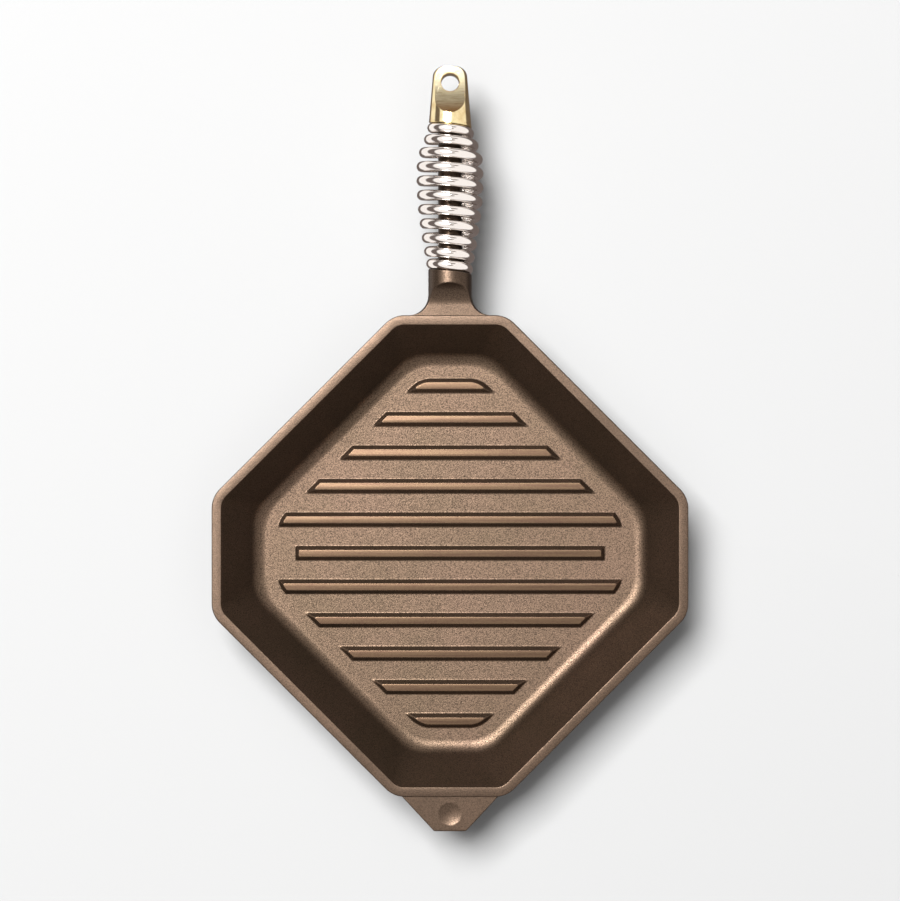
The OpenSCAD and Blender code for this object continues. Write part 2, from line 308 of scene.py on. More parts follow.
@dataclass(frozen=True)
class GroundIron(Finish):
    """Cast iron whose high faces were ground flat before seasoning.

    The grit takes the pebbles off and leaves faint scratches along the ridges, so the faces are smoother
    and shinier than the cast skin.
    """

    name: str = "seasoned_ground_iron"
    slot: str = "seasoned_iron"
    film: str = "#544333"
    scratch: str = "#4a382c"
    metallic: float = 0.9
    roughness: float = 0.36
    scratch_mm: float = 0.7  # grit is 0.1 mm; drawn coarser so that it shows
    scratch_l_mm: float = 30
    grain_mm: float = 1.1
    scratch_depth_mm: float = 0.02

    def surface(self, material: bpy.types.Material, place: Socket) -> tuple[Settings, Links]:
        """Add the scratches and what is left of the grain.

        Args:
            material: Material that gets the nodes.
            place: Object coordinates.

        Returns:
            The shader's constant values and its links.
        """
        along = add_node(
            material,
            "Mapping",
            {"Scale": (1000 / self.scratch_l_mm, 1000 / self.scratch_mm, 1000 / self.scratch_mm)},
            {"Vector": place},
        )
        scratches = add_node(
            material, "TexNoise", {"Scale": 1.0, "Detail": 2.0}, {"Vector": along.outputs["Vector"]}
        ).outputs["Fac"]
        grain = add_node(
            material, "TexNoise", {"Scale": 1000 / self.grain_mm, "Detail": 2.0}, {"Vector": place}
        ).outputs["Fac"]
        marks = add_node(
            material, "Mix", {"data_type": "FLOAT", 0: 0.4}, {2: scratches, 3: grain}
        ).outputs[0]
        shown = add_node(material, "MapRange", {"From Min": 0.38, "From Max": 0.58}, {"Value": marks})
        colour = add_node(
            material,
            "Mix",
            {"data_type": "RGBA", 6: to_linear(self.scratch), 7: to_linear(self.film)},
            {0: shown.outputs["Result"]},
        )
        bump = add_node(
            material, "Bump", {"Strength": 0.5, "Distance": self.scratch_depth_mm * MM}, {"Height": marks}
        )
        settings = {"Metallic": self.metallic, "Roughness": self.roughness}
        return settings, {"Base Color": colour.outputs[2], "Normal": bump.outputs["Normal"]}


@dataclass(frozen=True)
class PolishedSteel(Finish):
    """Stainless spring wire, drawn and then polished bright.

    It mirrors its surroundings, and the drawing and bending leave it very slightly wavy.
    """

    name: str = "polished_stainless_wire"
    slot: str = "polished_steel"
    colour: str = "#e8e3df"
    roughness: float = 0.1
    wave_mm: float = 5
    wave_depth_mm: float = 0.05

    def surface(self, material: bpy.types.Material, place: Socket) -> tuple[Settings, Links]:
        """Add the waviness, and smears that follow it.

        Args:
            material: Material that gets the nodes.
            place: Object coordinates.

        Returns:
            The shader's constant values and its links.
        """
        wave = add_node(
            material, "TexNoise", {"Scale": 1000 / self.wave_mm, "Detail": 1.0}, {"Vector": place}
        ).outputs["Fac"]
        bump = add_node(
            material, "Bump", {"Strength": 0.4, "Distance": self.wave_depth_mm * MM}, {"Height": wave}
        )
        bright, dull = self.roughness - 0.03, self.roughness + 0.05
        smears = add_node(
            material,
            "MapRange",
            {"From Min": 0.3, "From Max": 0.7, "To Min": bright, "To Max": dull},
            {"Value": wave},
        )
        settings = {"Metallic": 1.0, "Base Color": to_linear(self.colour)}
        return settings, {"Normal": bump.outputs["Normal"], "Roughness": smears.outputs["Result"]}


@dataclass(frozen=True)
class TurnedBrass(Finish):
    """Brass bar turned on a lathe and polished.

    The tool leaves fine rings round the axis, so a highlight stretches along it.
    """

    name: str = "turned_polished_brass"
    slot: str = "turned_brass"
    colour: str = "#ecdcae"
    # real tarnish on the turned cone; the milled face uses the same field for a painted dark reflection
    tarnish_and_dark_reflection: str = "#cfae78"
    roughness: float = 0.14
    ring_mm: float = 0.5  # feed is 0.1 mm; drawn coarser so that it shows
    tarnish_mm: float = 9
    ring_depth_mm: float = 0.006

    def surface(self, material: bpy.types.Material, place: Socket) -> tuple[Settings, Links]:
        """Add the turning rings and the tarnish.

        Args:
            material: Material that gets the nodes.
            place: Object coordinates.

        Returns:
            The shader's constant values and its links.
        """
        along = add_node(material, "Mapping", {"Scale": (0.0, 1000 / self.ring_mm, 0.0)}, {"Vector": place})
        rings = add_node(
            material, "TexNoise", {"Scale": 1.0, "Detail": 1.0}, {"Vector": along.outputs["Vector"]}
        ).outputs["Fac"]
        cloud = add_node(
            material, "TexNoise", {"Scale": 1000 / self.tarnish_mm, "Detail": 4.0}, {"Vector": place}
        ).outputs["Fac"]
        shown = add_node(material, "MapRange", {"From Min": 0.45, "From Max": 0.75}, {"Value": cloud})
        colour = add_node(
            material,
            "Mix",
            {"data_type": "RGBA", 6: to_linear(self.colour), 7: to_linear(self.tarnish_and_dark_reflection)},
            {0: shown.outputs["Result"]},
        )
        bump = add_node(
            material, "Bump", {"Strength": 0.5, "Distance": self.ring_depth_mm * MM}, {"Height": rings}
        )
        settings = {"Metallic": 1.0, "Roughness": self.roughness}
        return settings, {"Base Color": colour.outputs[2], "Normal": bump.outputs["Normal"]}


@dataclass(frozen=True)
class MilledBrass(Finish):
    """Brass face left by a milling cutter and polished by hand on a soft wheel.

    The wheel crowns the face very slightly along the handle, so it mirrors the lights at its tip and the
    dark overhead behind. Fine scratches run across it, and towards its inner end a painted dark reflection
    turns it darker brown. The crown's middle and the painted reflection's edges are places along the handle,
    in metres.
    """

    name: str = "milled_brass"
    slot: str = "turned_brass"
    colour: str = "#e9dfbe"
    scratch: str = "#b9a070"
    # painted dark reflection: the darker brown the flat turns towards its inner end, standing for the dark
    # overhead it mirrors
    tarnish_and_dark_reflection: str = "#c49a68"
    roughness: float = 0.06
    scratch_mm: float = 0.3
    scratch_l_mm: float = 6
    scratch_depth_mm: float = 0.006
    crown_y: float = 0.268
    crown_mm: float = 0.06
    crown_l_mm: float = 10
    dark_reflection_from: float = 0.262
    dark_reflection_to: float = 0.256

    def surface(self, material: bpy.types.Material, place: Socket) -> tuple[Settings, Links]:
        """Add the crown, the scratches and the painted dark reflection at the flat's inner end.

        The crown drops by the square of the distance from its middle, as a part of its length.

        Args:
            material: Material that gets the nodes.
            place: Object coordinates.

        Returns:
            The shader's constant values and its links.
        """
        y = add_node(material, "SeparateXYZ", {}, {0: place}).outputs["Y"]
        across = add_node(
            material,
            "Mapping",
            {"Scale": (1000 / self.scratch_l_mm, 1000 / self.scratch_mm, 1000 / self.scratch_l_mm)},
            {"Vector": place},
        )
        scratches = add_node(
            material, "TexNoise", {"Scale": 1.0, "Detail": 3.0}, {"Vector": across.outputs["Vector"]}
        ).outputs["Fac"]
        shown = add_node(material, "MapRange", {"From Min": 0.52, "From Max": 0.72}, {"Value": scratches})
        scratched = add_node(
            material,
            "Mix",
            {"data_type": "RGBA", 6: to_linear(self.colour), 7: to_linear(self.scratch)},
            {0: shown.outputs["Result"]},
        )
        # painted dark reflection: the colour turns darker brown towards the flat's inner end
        corner = add_node(
            material, "MapRange", {"From Min": self.dark_reflection_from, "From Max": self.dark_reflection_to}, {"Value": y}
        )
        colour = add_node(
            material,
            "Mix",
            {"data_type": "RGBA", 7: to_linear(self.tarnish_and_dark_reflection)},
            {0: corner.outputs["Result"], 6: scratched.outputs[2]},
        )
        away = add_node(
            material,
            "MapRange",
            {"clamp": False, "From Min": self.crown_y, "From Max": self.crown_y + self.crown_l_mm * MM},
            {"Value": y},
        ).outputs["Result"]
        drop = add_node(material, "Math", {"operation": "MULTIPLY"}, {0: away, 1: away}).outputs[0]
        crown = add_node(
            material,
            "Bump",
            {"invert": True, "Strength": 1.0, "Distance": self.crown_mm * MM},
            {"Height": drop},
        )
        bump = add_node(
            material,
            "Bump",
            {"Strength": 0.5, "Distance": self.scratch_depth_mm * MM},
            {"Height": scratches, "Normal": crown.outputs["Normal"]},
        )
        settings = {"Metallic": 1.0, "Roughness": self.roughness}
        return settings, {"Base Color": colour.outputs[2], "Normal": bump.outputs["Normal"]}


@dataclass(frozen=True)
class ZincSteel(Finish):
    """Steel rod with a bright zinc plating, which gives it a cool, faintly mottled sheen."""

    name: str = "zinc_plated_steel"
    slot: str = "zinc_steel"
    colour: str = "#b9bfc4"
    spangle: str = "#9da5ad"
    roughness: float = 0.32
    spangle_mm: float = 2

    def surface(self, material: bpy.types.Material, place: Socket) -> tuple[Settings, Links]:
        """Add the mottling.

        Args:
            material: Material that gets the nodes.
            place: Object coordinates.

        Returns:
            The shader's constant values and its links.
        """
        cells = add_node(
            material, "TexVoronoi", {"Scale": 1000 / self.spangle_mm}, {"Vector": place}
        ).outputs["Distance"]
        colour = add_node(
            material,
            "Mix",
            {"data_type": "RGBA", 6: to_linear(self.colour), 7: to_linear(self.spangle)},
            {0: cells},
        )
        return {"Metallic": 1.0, "Roughness": self.roughness}, {"Base Color": colour.outputs[2]}


@dataclass(frozen=True)
class StudioFloor(Finish):
    """Matt grey board that the pan lies on, lit brightly enough to look almost white."""

    name: str = "matt_pale_board"
    slot: str = ""
    colour: str = "#8f8f8f"
    roughness: float = 0.95

    def surface(self, material: bpy.types.Material, place: Socket) -> tuple[Settings, Links]:
        """Give only constant values: the board isn't part of the object, and it is plain all over."""
        return {"Base Color": to_linear(self.colour), "Roughness": self.roughness}, {}


def dress(piece: bpy.types.Object, finishes: Sequence[Finish], node: str | None = None) -> None:
    """Give a piece its finishes, its body and the CAD node that it stands for.

    Args:
        piece: Object that takes the finishes, in the order of its material slots.
        finishes: Finishes of the piece.
        node: CAD node that the piece stands for, or None where the piece is a CAD node itself.
    """
    piece.data.materials.clear()
    for finish in finishes:
        piece.data.materials.append(finish.material())
    if node is not None:
        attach(piece, "root")
        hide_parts(node)
        piece.data.calc_loop_triangles()
        log.info("%s stands for %s with %d triangles", piece.name, node, len(piece.data.loop_triangles))


@dataclass
class PanBody:
    """Octagonal bowl of the pan, without its ridges, tab and handle. Sizes are in millimetres."""

    flats: float = 242
    side_l: float = 67.8
    end_l: float = 65
    height: float = 45
    floor_t: float = 5
    rim_w: float = 5.8
    rim_bevel: float = 0.6
    rim_corner_r: float = 15.5
    floor_corner_r: float = 28
    base_corner_r: float = 30
    wall_lean: float = math.radians(22.8)
    floor_round: float = 9
    base_round: float = 13
    outer_edge_r: float = 0.7
    inner_edge_r: float = 0.45
    corner_steps: int = 20
    round_steps: int = 20
    outer_edge_points: int = 8
    inner_edge_points: int = 6
    half_flats: float = field(init=False)
    half_x: float = field(init=False)
    half_y: float = field(init=False)
    slope: float = field(init=False)
    rim_z: float = field(init=False)
    floor_inset: float = field(init=False)
    base_inset: float = field(init=False)

    def __post_init__(self) -> None:
        """Work out the sizes that follow from the others."""
        self.half_flats = self.flats / 2
        self.half_x = math.sqrt(2) * self.half_flats - self.side_l / 2
        self.half_y = math.sqrt(2) * self.half_flats - self.end_l / 2
        self.slope = math.tan(self.wall_lean)
        self.rim_z = self.height - self.rim_bevel
        lean = math.cos(self.wall_lean)
        straight = self.rim_z - self.floor_t - self.floor_round
        self.floor_inset = self.rim_w + straight * self.slope + self.floor_round / lean
        self.base_inset = (self.rim_z - self.base_round) * self.slope + self.base_round / lean

    def outline(self, inset: np.ndarray, radius: np.ndarray, z: np.ndarray) -> np.ndarray:
        """Octagons parallel to the rim, with rounded corners.

        Each of the eight corners is an arc of 45 degrees. The four at the sides are centred an inset and a
        radius in from the sides, the four at the ends likewise from the ends, and both lie a radius in from
        the slanting flats, whose line is |x| + |y| = sqrt(2) (half the flats - inset - radius).

        Args:
            inset: Distance in from the rim's outline, one for each ring.
            radius: Corner radius of each ring.
            z: Height of each ring.

        Returns:
            Rings by points by x, y, z.
        """
        inset, radius, z = (np.asarray(v, float)[:, None] for v in (inset, radius, z))
        k = np.repeat(np.arange(8), self.corner_steps + 1)
        part = np.tile(np.linspace(0, 1, self.corner_steps + 1), 8)
        x = self.half_x - inset - radius
        y = self.half_y - inset - radius
        reach = math.sqrt(2) * (self.half_flats - inset - radius)
        at_side = (k % 4 == 0) | (k % 4 == 3)
        sign_x = np.where((k < 2) | (k > 5), 1, -1)
        sign_y = np.where(k < 4, 1, -1)
        a = np.pi / 4 * (k + part)
        px = sign_x * np.where(at_side, x, reach - y) + radius * np.cos(a)
        py = sign_y * np.where(at_side, reach - x, y) + radius * np.sin(a)
        return np.stack([px, py, np.broadcast_to(z, px.shape)], axis=-1)

    def wall_middle(self, z: Values) -> Values:
        """Inset of the middle of the wall at a height."""
        return self.rim_w / 2 + (self.rim_z - z) * self.slope

    def outside(self) -> tuple[np.ndarray, np.ndarray]:
        """Insets and heights up the outside: round of the base, wall, and the rim's rounded outer edge."""
        a = np.linspace(0, np.pi / 2 - self.wall_lean, self.round_steps + 1)
        base = np.stack([self.base_inset - self.base_round * np.sin(a), self.base_round * (1 - np.cos(a))])
        r = self.outer_edge_r
        middle = r / math.cos(self.wall_lean) + (r - self.rim_bevel) * self.slope
        a = np.linspace(-self.wall_lean, np.pi / 2, self.outer_edge_points)
        edge = np.stack([middle - r * np.cos(a), self.height - r + r * np.sin(a)])
        inset, z = np.hstack([base, edge])
        return inset, z

    def inside(self) -> tuple[np.ndarray, np.ndarray]:
        """Insets and heights down the inside: the rim's rounded inner edge, wall, and round to the floor."""
        r = self.inner_edge_r
        middle = self.rim_w + (r - self.rim_bevel) * self.slope - r / math.cos(self.wall_lean)
        a = np.linspace(np.pi / 2, self.wall_lean, self.inner_edge_points)
        edge = np.stack([middle + r * np.cos(a), self.height - r + r * np.sin(a)])
        a = np.linspace(self.wall_lean, np.pi / 2, self.round_steps + 1)
        r = self.floor_round
        low = np.stack([self.floor_inset - r * np.cos(a), self.floor_t + r * (1 - np.sin(a))])
        inset, z = np.hstack([edge, low])
        return inset, z

    def build(self) -> None:
        """Make the bowl: outside, rim and inside as one closed skin, with the rim's top in its own finish.

        The corner radius grows evenly with depth, from the rim's to the base's outside and to the floor's
        inside.
        """
        inset, z = self.outside()
        grown = (self.base_corner_r - self.rim_corner_r) * (1 - z / self.height)
        outer = self.outline(inset, self.rim_corner_r + grown, z)
        inset, z = self.inside()
        rim_r = self.rim_corner_r - self.rim_w
        depth = (self.height - z) / (self.height - self.floor_t)
        inner = self.outline(inset, rim_r + (self.floor_corner_r - rim_r) * depth, z)
        bowl = skin("pan_bowl", np.concatenate([outer, inner]))
        dress(bowl, [SandCastIron(), FettledIron()], "pan_casting")
        centre = np.empty(len(bowl.data.polygons) * 3)
        bowl.data.polygons.foreach_get("center", centre)
        on_rim = centre[2::3] > (self.height - self.outer_edge_r) * MM
        bowl.data.polygons.foreach_set("material_index", on_rim.astype(np.int32))
        bowl.data.update()


@dataclass
class GrillRidges:
    """Drafted ridges that stand on the pan's floor and end along its outline. Sizes are in millimetres."""

    pan: PanBody
    pitch: float = 19.8
    each_side: int = 5
    foot_w: float = 8.3
    top_w: float = 4.1
    height: float = 4.5
    margin: float = 7
    corner_r: float = 17
    middle_inset: float = 10.5
    plan_r: float = 0.7
    top_r: float = 0.45
    foot_r: float = 0.9
    sink: float = 0.05
    arc_steps: int = 6
    end_steps: int = 14
    ground_rows: int = 2

    @property
    def lean(self) -> float:
        """How far a ridge's side leans in for each unit of height."""
        return (self.foot_w - self.top_w) / 2 / self.height

    def end(self, y: np.ndarray, inset: np.ndarray, radius: np.ndarray) -> tuple[np.ndarray, np.ndarray]:
        """Reach and facing of the ridge field's outline on the +X side.

        The outline is the pan's octagon at an inset: a side, an arc, a slanting flat where |x| + |y| stays
        the same, and an arc at the end. Each y falls in one of them.

        Args:
            y: Places across the ridges.
            inset: Distance in from the rim's outline.
            radius: Corner radius.

        Returns:
            The outline's x at each y, and the angle of its normal from +X.
        """
        far = np.abs(y)
        x_side = self.pan.half_x - inset - radius
        y_end = self.pan.half_y - inset - radius
        reach = math.sqrt(2) * (self.pan.half_flats - inset - radius)
        slant = math.sqrt(2) * (self.pan.half_flats - inset)
        up_side = np.clip((far - (reach - x_side)) / radius, 0, 1)
        up_end = np.clip((far - y_end) / radius, 0, 1)
        places = [up_side <= 0, up_side < math.sqrt(0.5), up_end < math.sqrt(0.5)]
        x = np.select(
            places,
            [x_side + radius, x_side + radius * np.sqrt(1 - up_side**2), slant - far],
            reach - y_end + radius * np.sqrt(1 - up_end**2),
        )
        angle = np.select(places, [0 * far, np.arcsin(up_side), 0 * far + np.pi / 4], np.arcsin(up_end))
        return x, np.sign(y) * angle

    def rings(self, middle_y: float) -> np.ndarray:
        """Outlines of one ridge from its foot to its top.

        Going up, the outline shrinks by the same amount all round: first along the hollow round of the
        foot, then along the drafted side, then over the rounded top edge. At each height it is the offset by
        the plan radius of a smaller shape, whose corners become arcs: long side, arc, end along the floor's
        outline, arc, and the same mirrored. The middle ridge has square ends.

        Args:
            middle_y: Place of the ridge's middle line.

        Returns:
            Rings by points by x, y, z.
        """
        shrink, z = self.side_profile()
        half_w = (self.foot_w / 2 - shrink - self.plan_r)[:, None]
        inset = (self.pan.floor_inset + self.margin + shrink + self.plan_r)[:, None]
        radius = (self.corner_r - shrink - self.plan_r)[:, None]
        y = middle_y + half_w * np.linspace(-1, 1, self.end_steps)
        if middle_y == 0:
            x = self.pan.half_x - inset - self.middle_inset + 0 * y
            facing = 0 * y
        else:
            x, facing = self.end(y, inset, radius)
        turn = np.linspace(0, 1, self.arc_steps)
        first = -np.pi / 2 + (facing[:, :1] + np.pi / 2) * turn
        last = facing[:, -1:] + (np.pi / 2 - facing[:, -1:]) * turn
        angle = np.hstack([first, facing[:, 1:-1], last])
        base_x = np.hstack([x[:, :1] + 0 * turn, x[:, 1:-1], x[:, -1:] + 0 * turn])
        base_y = np.hstack([y[:, :1] + 0 * turn, y[:, 1:-1], y[:, -1:] + 0 * turn])
        right = np.stack(
            [
                base_x + self.plan_r * np.cos(angle),
                base_y + self.plan_r * np.sin(angle),
                z[:, None] + 0 * angle,
            ],
            axis=-1,
        )
        left = right[:, ::-1] * (-1, 1, 1)
        return np.concatenate([right, left], axis=1)

    def side_profile(self) -> tuple[np.ndarray, np.ndarray]:
        """How far the outline has shrunk from the foot's, and its height, from just inside the floor up."""
        tilt = math.atan(self.lean)
        a = np.linspace(0, np.pi / 2 - tilt, self.arc_steps)
        run = self.foot_r * math.tan((np.pi / 2 - tilt) / 2)
        foot = np.stack([-run + self.foot_r * np.sin(a), self.foot_r * (1 - np.cos(a))])
        back = self.top_r * math.tan((np.pi / 2 - tilt) / 2)
        top_x = self.height * self.lean + back
        a = np.linspace(np.pi / 2 - tilt, 0, self.arc_steps)
        top = np.stack([top_x - self.top_r * np.sin(a), self.height - self.top_r * (1 - np.cos(a))])
        sunk = np.array([[-run - self.sink], [-self.sink]])
        shrink, z = np.hstack([sunk, foot, top])
        return shrink, z + self.pan.floor_t

    def build(self) -> None:
        """Make the ridges, with the ground finish on their flat tops and top edges."""
        for number in range(-self.each_side, self.each_side + 1):
            rings = self.rings(number * self.pitch)
            ridge = skin(f"grill_ridge_{number + self.each_side + 1:02d}", rings)
            rows, columns, _ = rings.shape
            on_top = np.zeros(len(ridge.data.polygons), dtype=np.int32)
            on_top[(rows - 1 - self.ground_rows) * columns : -2] = 1
            on_top[-1] = 1
            dress(ridge, [SandCastIron(), GroundIron()], "pan_casting")
            ridge.data.polygons.foreach_set("material_index", on_top)
            ridge.data.update()


@dataclass
class CoilPath:
    """Path of the grip's wire about the handle's axis, wound left-handed. Sizes are in millimetres."""

    pan: PanBody
    axis_drop: float = 6
    neck_l: float = 25.1
    wire_r: float = 3
    turns: float = 11
    gap: float = 2.2
    end_gap: float = 0.4
    closing_turns: float = 3
    belly_r: float = 16.35
    end_r: float = 10
    belly_rise: float = 0.62
    belly_fall: float = 0.3
    belly_power: float = 1.25
    seat_gap: float = 0.05

    @property
    def axis_z(self) -> float:
        """Height of the handle's axis."""
        return self.pan.height - self.axis_drop

    def closing(self, t: Values) -> Values:
        """Sum of the closing-up of the end turns, which fades out as a cosine over the closing turns."""
        part = np.clip(t / self.closing_turns, 0, 1)
        return self.closing_turns * (part + np.sin(np.pi * part) / np.pi) / 2

    def y(self, t: Values) -> Values:
        """Place along the handle after t turns: the pitch times t, less the closing-up at both ends."""
        pitch = 2 * self.wire_r + self.gap
        shut = self.closing(t) + self.closing(self.turns) - self.closing(self.turns - t)
        return self.pan.half_y + self.neck_l + pitch * t - (self.gap - self.end_gap) * shut

    def radius(self, t: Values) -> Values:
        """Distance from the axis after t turns.

        The barrel fills as a power of a sine, stays full, and falls as a cosine.
        """
        s = t / self.turns
        rise = np.sin(np.pi / 2 * np.clip(s / self.belly_rise, 0, 1)) ** self.belly_power
        fall = (1 + np.cos(np.pi * np.clip((s - 1 + self.belly_fall) / self.belly_fall, 0, 1))) / 2
        return self.end_r + (self.belly_r - self.end_r) * np.minimum(rise, fall)

    def point(self, t: Values) -> np.ndarray:
        """Points on the wire's middle line after t turns."""
        return turned(self.radius(t), self.y(t), t, self.axis_z)

    def collar_seat(self, t: Values) -> Values:
        """Place of the collar's seat, a wire radius and the gap short of the first turn."""
        return self.y(t) - self.wire_r - self.seat_gap

    def cap_seat(self, t: Values) -> Values:
        """Place of the cap's seat, a wire radius and the gap beyond the last turn."""
        return self.y(t + self.turns - 1) + self.wire_r + self.seat_gap


@dataclass
class HandleNeck:
    """Neck, thumb scoop, collar and tang of the handle. Sizes are in millimetres."""

    pan: PanBody
    coil: CoilPath
    collar_r: float = 12.5
    flare_r: float = 12
    under_flare_l: float = 5
    step: float = 1
    scoop_r: float = 14
    collar_land: float = 7
    tang_r: float = 6.8
    tang_reach: float = 3.5
    bore_r: float = 4.05
    bore_l: float = 14.5
    crease: float = 0.5
    edge_r: float = 0.6
    plain_l: float = 2.2
    seat_middle_r: float = 10
    tang_foot: float = 0.6
    tang_bevel: float = 0.8
    root_l: float = 19
    rows: int = 120
    collar_rows: int = 14
    tang_rows: int = 8
    edge_points: int = 6
    columns: int = 240
    step_angle: float = 3

    def flare(self, start_y: float, y: np.ndarray) -> np.ndarray:
        """Spread of a quarter-round flare that starts at start_y and grows towards the pan.

        Args:
            start_y: Place where the flare starts.
            y: Places along the handle.

        Returns:
            How far the section spreads at each place.
        """
        u = np.clip(start_y - y, 0, self.flare_r)
        return self.flare_r - np.sqrt(self.flare_r**2 - u**2)

    def turn(self) -> np.ndarray:
        """Parts of a turn of the columns, from the seat's step round to its other side."""
        return np.linspace(0, 1 - self.step_angle / 360, self.columns)[None, :]

    def neck_rows(self, last_y: float) -> np.ndarray:
        """Rings of the neck from inside the pan's wall to last_y.

        Above the axis the section is half round, and its width flares towards the wall; below the axis its
        depth flares as well. The top is cut level at the neck's height, then along the scoop's arc, with
        the crease rounded. Points that would come out inside the pan are held at the wall's middle, which
        leans with the wall.

        Args:
            last_y: Place of the last ring.

        Returns:
            Rings by points by x, y, z.
        """
        y = np.linspace(self.pan.half_y - self.root_l, last_y, self.rows)[:, None]
        wide = self.collar_r + self.flare(self.pan.half_y + self.flare_r, y)
        deep = self.collar_r + self.flare(self.pan.half_y + self.under_flare_l, y)
        angle = 2 * np.pi * self.turn()
        up = -np.cos(angle)
        x = wide * np.sin(angle)
        z = self.coil.axis_z + np.where(up > 0, self.collar_r, deep) * up
        top = self.pan.height - self.step
        scoop_end = self.coil.collar_seat(0.5) - self.collar_land
        rise = self.coil.axis_z + self.collar_r - top
        scoop_y = scoop_end - math.sqrt(self.scoop_r**2 - (self.scoop_r - rise) ** 2)
        u = np.clip(y - scoop_y, 0, self.scoop_r)
        cut = top + self.scoop_r - np.sqrt(self.scoop_r**2 - u**2)
        z = soft_min(z, cut + 0 * z, self.crease)
        wall = self.pan.half_y - self.pan.wall_middle(z)
        return np.stack([x, np.maximum(y + 0 * x, wall), z], axis=-1)

    def build(self) -> None:
        """Make neck, collar, seat, tang and the tang's bore as one closed skin.

        Past the neck, rows stretch evenly to the seat's helical ramp. The seat's edge is rounded, the seat
        runs in to the tang's foot, the tang runs to its bevelled end, and the bore runs back into it.
        """
        turn = self.turn()
        z = self.coil.axis_z
        seat = self.coil.collar_seat(turn)
        start_y = float(seat.min()) - self.plain_l
        neck = self.neck_rows(start_y)
        e = self.edge_r
        s = np.linspace(0, 1, self.collar_rows)[1:, None]
        collar = turned(self.collar_r, start_y + (seat - e - start_y) * s, turn, z)
        a = np.linspace(0, np.pi / 2, self.edge_points)[1:, None]
        edge = turned(self.collar_r - e + e * np.cos(a), seat - e + e * np.sin(a), turn, z)
        face = turned(np.array([[self.seat_middle_r], [self.tang_r + self.tang_foot]]), seat, turn, z)
        foot_y = seat + self.tang_foot
        foot = turned(self.tang_r, foot_y, turn, z)
        end_y = float(self.coil.y(self.coil.turns)) + self.tang_reach
        s = np.linspace(0, 1, self.tang_rows)[1:, None]
        tang = turned(self.tang_r, foot_y + (end_y - self.tang_bevel - foot_y) * s, turn, z)
        tip = turned(np.array([[self.tang_r - self.tang_bevel], [self.bore_r]]), end_y, turn, z)
        bore = turned(self.bore_r, end_y - self.bore_l, turn, z)
        rings = np.concatenate([neck, collar, edge, face, foot, tang, tip, bore])
        dress(skin("handle_neck", rings[:, ::-1]), [FettledIron()], "pan_casting")


@dataclass
class HelperTab:
    """Tapered tab opposite the handle, with a plain round dish. Sizes are in millimetres."""

    pan: PanBody
    length: float = 19.9
    root_w: float = 55.4
    tip_w: float = 18.4
    thickness: float = 6
    root_t: float = 7
    step: float = 1.2
    corner_r: float = 2
    root_l: float = 9.5
    dish_r: float = 6.5
    dish_depth: float = 0.8
    edge_r: float = 0.8
    tip_edge_r: float = 0.8
    corner_rows: int = 9
    rows: int = 90
    columns: int = 61
    edge_points: int = 6

    def plan(self) -> tuple[np.ndarray, np.ndarray]:
        """Half width of the tab along its length.

        It follows an arc at the tip's corners, then a straight taper, and stays even inside the wall.

        Returns:
            Distances from the tip, and the half width at each.
        """
        r = self.corner_r
        lean = (self.root_w - self.tip_w) / 2 / self.length
        middle_x = self.tip_w / 2 + lean * r - r * math.hypot(1, lean)
        near = r - r * lean / math.hypot(1, lean)
        corner = near * (1 - np.cos(np.linspace(0, np.pi / 2, self.corner_rows)))
        straight = np.linspace(near, self.length + self.root_l, self.rows)[1:]
        d = np.concatenate([corner, straight])[:, None]
        arc = middle_x + np.sqrt(np.clip(r**2 - (r - d) ** 2, 0, None))
        taper = np.minimum(self.tip_w / 2 + lean * d, self.root_w / 2)
        return d, np.where(d < near, arc, taper)

    def build(self) -> None:
        """Make the tab as a loft of rounded sections from its tip to inside the pan's wall.

        A section's top is level, sunk by the dish's cap of a sphere. Its bottom is level at the tip and
        slopes down to the wall. Its four edges, and the tip's top and bottom edges, are rounded.
        """
        d, half_w = self.plan()
        tip_y = -self.pan.half_y - self.length
        r = self.tip_edge_r
        pull = r - np.sqrt(np.clip(r**2 - np.clip(r - d, 0, None) ** 2, 0, None))
        top = self.pan.height - self.step - pull
        tip_low = self.pan.height - self.step - self.thickness
        level = self.thickness / 2
        root_in = self.pan.wall_middle(tip_low - self.root_t)
        fall = np.clip((d - level) / (self.length + root_in - level), 0, None)
        bottom = tip_low - self.root_t * fall + pull
        e = self.edge_r
        side = half_w - e
        flat = side * np.linspace(-1, 1, self.columns)
        a = np.linspace(0, np.pi / 2, self.edge_points)
        out, back = e * np.sin(a), e * np.cos(a)
        x = np.hstack([flat, side + out, side + back, -flat, -side - out, -side - back])
        upper = [top + 0 * flat, top - e + back, bottom + e - out]
        lower = [bottom + 0 * flat, bottom + e - back, top - e + out]
        z = np.hstack(upper + lower)
        y = tip_y + d + 0 * x
        away = np.hypot(x, y - (tip_y + self.length / 2))
        sphere_r = (self.dish_r**2 + self.dish_depth**2) / 2 / self.dish_depth
        sunk = np.sqrt(np.clip(sphere_r**2 - away**2, 0, None)) - (sphere_r - self.dish_depth)
        z = z - np.where((z > top - SAME_MM) & (away < self.dish_r), sunk, 0)
        y = np.minimum(y, self.pan.wall_middle(z) - self.pan.half_y)
        dress(skin("helper_tab", np.stack([x, y, z], axis=-1)), [FettledIron()], "pan_casting")


